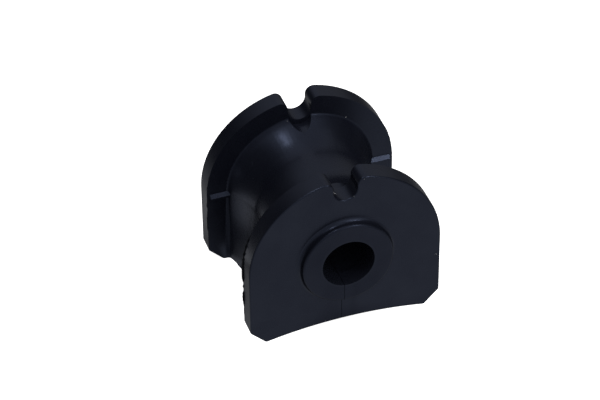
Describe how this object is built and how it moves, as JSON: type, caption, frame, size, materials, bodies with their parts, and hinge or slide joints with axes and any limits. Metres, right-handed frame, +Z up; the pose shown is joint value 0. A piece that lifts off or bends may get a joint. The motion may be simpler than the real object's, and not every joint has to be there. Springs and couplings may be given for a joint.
{
  "type": "sway bar bushing",
  "caption": "One-piece rubber stabiliser bar bushing: hourglass saddle between two notched D-shaped flanges, round collared bore and a fitting slit to the arched base.",
  "frame": {"origin": "on the bore axis, half way along the bore", "axes": "+Y along the bore, +Z up from the arched base to the notched round top, +X across the flanges"},
  "size_m": [0.059, 0.051, 0.0542],
  "materials": {
    "rubber": "matt black moulded rubber with a faint sheen"
  },
  "bodies": {
    "root": {"bushing": "rubber"}
  },
  "joints": []
}
